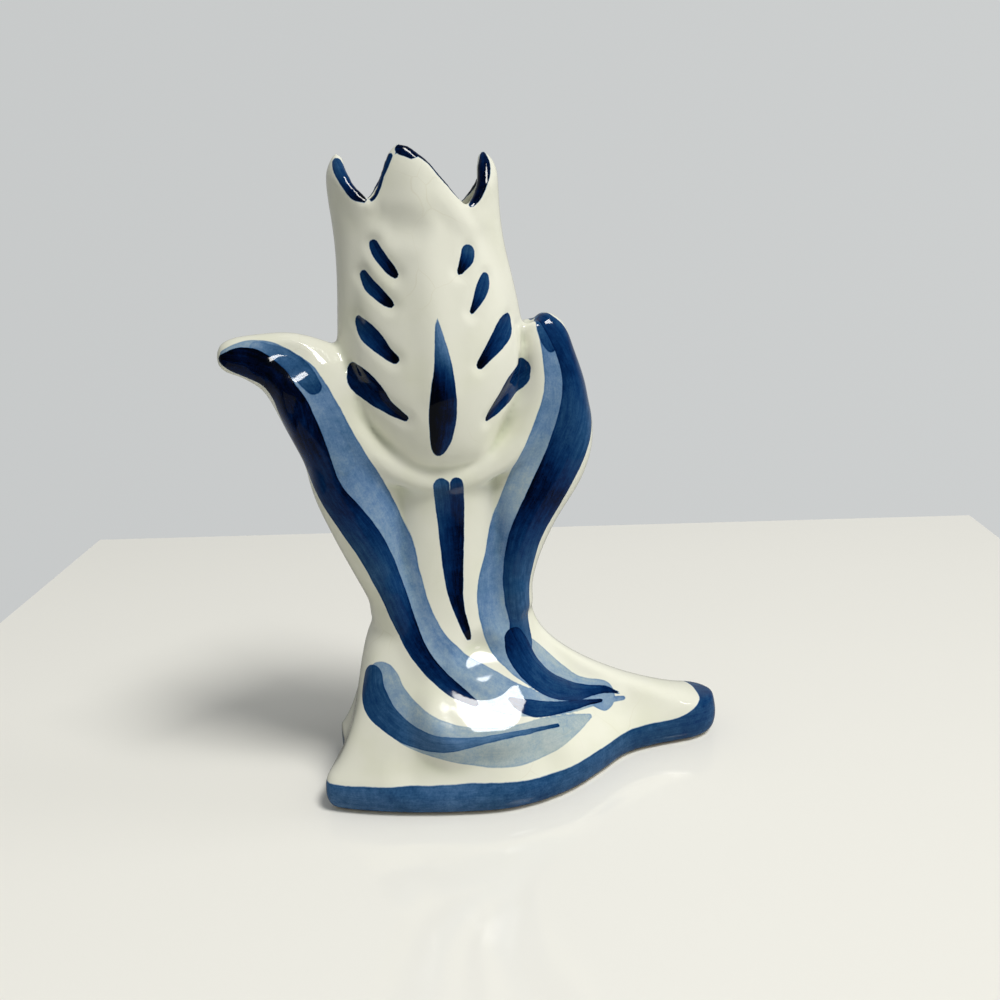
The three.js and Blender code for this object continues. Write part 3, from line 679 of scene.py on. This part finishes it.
cobalt = Tone.node("ShaderNodeValToRGB", {"stops": [
    (0.00, (0.785, 0.780, 0.675)), (0.12, (0.54, 0.585, 0.57)), (0.25, (0.37, 0.45, 0.48)),
    (0.35, (0.23, 0.335, 0.46)), (0.45, (0.125, 0.225, 0.395)), (0.52, (0.075, 0.165, 0.32)),
    (0.62, (0.034, 0.100, 0.225)), (0.70, (0.014, 0.060, 0.155)), (0.78, (0.004, 0.032, 0.115)),
    (0.86, (0.001, 0.014, 0.070)), (0.93, (0.0005, 0.004, 0.024)), (1.00, (0.0004, 0.0012, 0.004))]},
    {"Fac": pigment})


def tint(colour, wash, how_much):
    """Lay a see-through colour over another, as much as the tone says."""
    mixed = Tone.tree.nodes.new("ShaderNodeMix")
    mixed.data_type = "RGBA"
    mixed.blend_type = "MULTIPLY"
    Tone.tree.links.new(how_much.socket, mixed.inputs[0])
    Tone.tree.links.new(colour.socket, mixed.inputs[6])
    mixed.inputs[7].default_value = (*wash, 1)
    return Tone(mixed.outputs[2])


POOLED_GLAZE_AND_SHADE = (0.88, 0.905, 0.84)
CLOUDED_GLAZE = (0.93, 0.94, 0.88)
CRACKLE_BROWN = (0.80, 0.74, 0.62)
SPECK_BROWN = (0.10, 0.07, 0.05)
BARE_CLAY = (0.62, 0.50, 0.42)
# Darker, greener tint in the hollows: partly glaze pooling, partly painted shade in creases and under the
# bloom.
pooled_and_shaded = Tone.mark("hollow").between(0.1, 0.9)
surface = tint(cobalt, POOLED_GLAZE_AND_SHADE, pooled_and_shaded)
surface = tint(surface, CLOUDED_GLAZE, cloud(60.0, 3.0).between(-0.12, 0.35))
bent = Tone.node("ShaderNodeVectorMath", {"operation": "ADD"}, {
    0: place, 1: Tone.node("ShaderNodeVectorMath", {"operation": "SCALE"}, {
        0: Tone.node("ShaderNodeTexNoise", {}, {"Vector": place, "Scale": 90.0}, "Color"),
        "Scale": 0.006})})
craze = Tone.node("ShaderNodeTexVoronoi", {"feature": "DISTANCE_TO_EDGE"},
                  {"Vector": bent, "Scale": 75.0}, "Distance")
crackle = (1 - craze.between(0.0, 0.012)) * cloud(35.0).between(0.02, 0.2)
surface = tint(surface, CRACKLE_BROWN, crackle * 0.3)
SPECKS = [(-7.7, -16.3, 100.6, 0.28), (6.3, -10.4, 87.9, 0.26), (-9.9, -15.3, 124.3, 0.22)]
for spot_x, spot_y, spot_z, size in SPECKS:
    gap = Tone.node("ShaderNodeVectorMath", {"operation": "DISTANCE"},
                    {0: place, 1: (spot_x * MM, spot_y * MM, spot_z * MM)}, "Value")
    surface = tint(surface, SPECK_BROWN, 1 - gap.between(0.4 * size * MM, size * MM))
height = Tone.node("ShaderNodeSeparateXYZ", {}, {"Vector": place}, "Z")
bare = 1 - height.between(0.3 * MM, 0.9 * MM)
surface = tint(surface, BARE_CLAY, bare)
Tone.tree.links.new(surface.socket, shader.inputs["Base Color"])
dull = 0.07 + cloud(220.0).between(0.1, 0.4) * 0.05 + bare * 0.6
Tone.tree.links.new(dull.socket, shader.inputs["Roughness"])
shader.inputs["Specular IOR Level"].default_value = 0.3
ripple = Tone.node("ShaderNodeBump", {}, {"Strength": 0.25, "Distance": 0.2 * MM,
                                          "Height": cloud(170.0, 2.0) + cloud(900.0) * 0.06}, "Normal")
Tone.tree.links.new(ripple.socket, shader.inputs["Normal"])
casting.data.materials.append(glaze)

# The six clay elements: the finished skin is parted along the luted seams, and
# each element is a closed shell of glazed clay that meets its neighbours.
ELEMENTS = {"glazed_base": "base_slab", "glazed_foot": "foot_shell", "glazed_stem": "stem_tube",
            "glazed_bloom": "bloom_cup", "glazed_left_leaf": "left_leaf",
            "glazed_right_leaf": "right_leaf"}
SHELL = 0.6 * MM
nearest = []
for node in ELEMENTS.values():
    shape = frame["nodes"][node].data
    finder = BVHTree.FromPolygons([v.co for v in shape.vertices], [p.vertices[:] for p in shape.polygons])
    nearest.append([finder.find_nearest(face.center)[3] for face in casting.data.polygons])
owner = np.argmin(nearest, axis=0)
marks = casting.data.attributes.new("facing", "FLOAT_VECTOR", "POINT")
marks.data.foreach_set("vector", skin_facing.ravel())
for number, (piece_name, node) in enumerate(ELEMENTS.items()):
    bpy.ops.object.select_all(action="DESELECT")
    casting.select_set(True)
    bpy.context.view_layer.objects.active = casting
    bpy.ops.object.duplicate()
    piece = bpy.context.active_object
    piece.name = piece_name
    bpy.ops.object.mode_set(mode="EDIT")
    bpy.ops.mesh.select_mode(type="FACE")
    bpy.ops.mesh.select_all(action="DESELECT")
    bpy.ops.object.mode_set(mode="OBJECT")
    piece.data.polygons.foreach_set("select", owner != number)
    bpy.ops.object.mode_set(mode="EDIT")
    bpy.ops.mesh.delete(type="FACE")
    bpy.ops.object.mode_set(mode="OBJECT")
    outer = len(piece.data.vertices)
    wall = piece.modifiers.new("wall", "SOLIDIFY")
    wall.thickness = SHELL
    wall.offset = -1
    bpy.ops.object.modifier_apply(modifier=wall.name)
    facing = np.zeros(3 * len(piece.data.vertices))
    piece.data.attributes["facing"].data.foreach_get("vector", facing)
    facing = facing.reshape(-1, 3)
    facing[outer:] = 0
    piece.data.normals_split_custom_set_from_vertices(facing)
    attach(piece, "root")
    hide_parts(node)
bpy.data.objects.remove(casting)

# The table: a plain off-white gloss top in soft daylight, with a lamp high on
# the right and a weaker one low at the right side that nothing mirrors. In
# reflections the table and the room look darker than they are.
BACK_LEFT = Vector((-127, 253, 0)) * MM
BACK_RIGHT = Vector((267, 153, 0)) * MM
TABLE_DEPTH = 420 * MM
TOP_CREAM = (0.91, 0.895, 0.84, 1)
TOP_MIRRORED = (0.22, 0.22, 0.21, 1)
edge_way = (BACK_RIGHT - BACK_LEFT).normalized()
front_way = Vector((edge_way.y, -edge_way.x, 0))
bpy.ops.object.select_all(action="DESELECT")
bpy.ops.mesh.primitive_plane_add(size=1)
table = bpy.context.active_object
table.name = "table_top"
for corner in table.data.vertices:
    start = BACK_RIGHT if corner.co.x > 0 else BACK_LEFT
    corner.co = start if corner.co.y > 0 else start + front_way * TABLE_DEPTH
gloss = bpy.data.materials.new("table_gloss")
gloss.use_nodes = True
top = gloss.node_tree.nodes["Principled BSDF"]
Tone.tree = gloss.node_tree
in_reflections = Tone.node("ShaderNodeLightPath", {}, {}, "Is Glossy Ray")
pale_top = Tone.node("ShaderNodeMix", {"data_type": "RGBA"}, {
    0: in_reflections, 6: TOP_CREAM, 7: TOP_MIRRORED}, 2)
Tone.tree.links.new(pale_top.socket, top.inputs["Base Color"])
top.inputs["Roughness"].default_value = 0.1
table.data.materials.append(gloss)

DAYLIGHT = 0.37
DIM_ROOM = 0.02
DIM_FAR_WALL = 0.4
WALL_AS_SEEN = 0.73
VASE_MIDDLE = Vector((0, 0, 0.06))
world = bpy.data.worlds.new("pale_room")
bpy.context.scene.world = world
world.use_nodes = True
Tone.tree = world.node_tree
seen = Tone.node("ShaderNodeLightPath", {}, {}, "Is Camera Ray")
mirrored = Tone.node("ShaderNodeLightPath", {}, {}, "Is Glossy Ray")
look = Tone.node("ShaderNodeTexCoord", {}, {}, "Generated")
across = Tone.node("ShaderNodeSeparateXYZ", {}, {"Vector": look}, "X")
beyond = Tone.node("ShaderNodeSeparateXYZ", {}, {"Vector": look}, "Y")
soft_daylight = DAYLIGHT + across * 0.02 - beyond * 0.04
dim_room = DIM_ROOM + beyond.between(0.0, 0.9) * DIM_FAR_WALL
strength = soft_daylight + (dim_room - soft_daylight) * mirrored
strength = strength + (WALL_AS_SEEN + across * 0.05 - strength) * seen
room = world.node_tree.nodes["Background"]
room.inputs["Color"].default_value = (0.80, 0.82, 0.82, 1)
Tone.tree.links.new(strength.socket, room.inputs["Strength"])


def window(name, turn, height, far, width, tall, watts, colour):
    """A soft lamp the shape of a window, turned towards the vase."""
    turn, height = math.radians(turn), math.radians(height)
    out = Vector((math.sin(turn) * math.cos(height), -math.cos(turn) * math.cos(height),
                  math.sin(height)))
    bpy.ops.object.select_all(action="DESELECT")
    bpy.ops.object.light_add(type="AREA", location=out * far + VASE_MIDDLE)
    lamp = bpy.context.active_object
    lamp.name = name
    lamp.data.shape = "RECTANGLE"
    lamp.data.size = width
    lamp.data.size_y = tall
    lamp.data.energy = watts
    lamp.data.color = colour
    lamp.rotation_euler = out.to_track_quat("Z", "Y").to_euler()
    return lamp


window("roof_light", turn=35, height=60, far=3.0, width=0.84, tall=0.84, watts=66,
       colour=(1, 0.99, 0.955))
side_window = window("side_window", turn=80, height=9, far=2.4, width=0.9, tall=1.2, watts=17,
                     colour=(1, 1, 0.99))
side_window.visible_glossy = False

bpy.context.scene.view_settings.view_transform = "Standard"
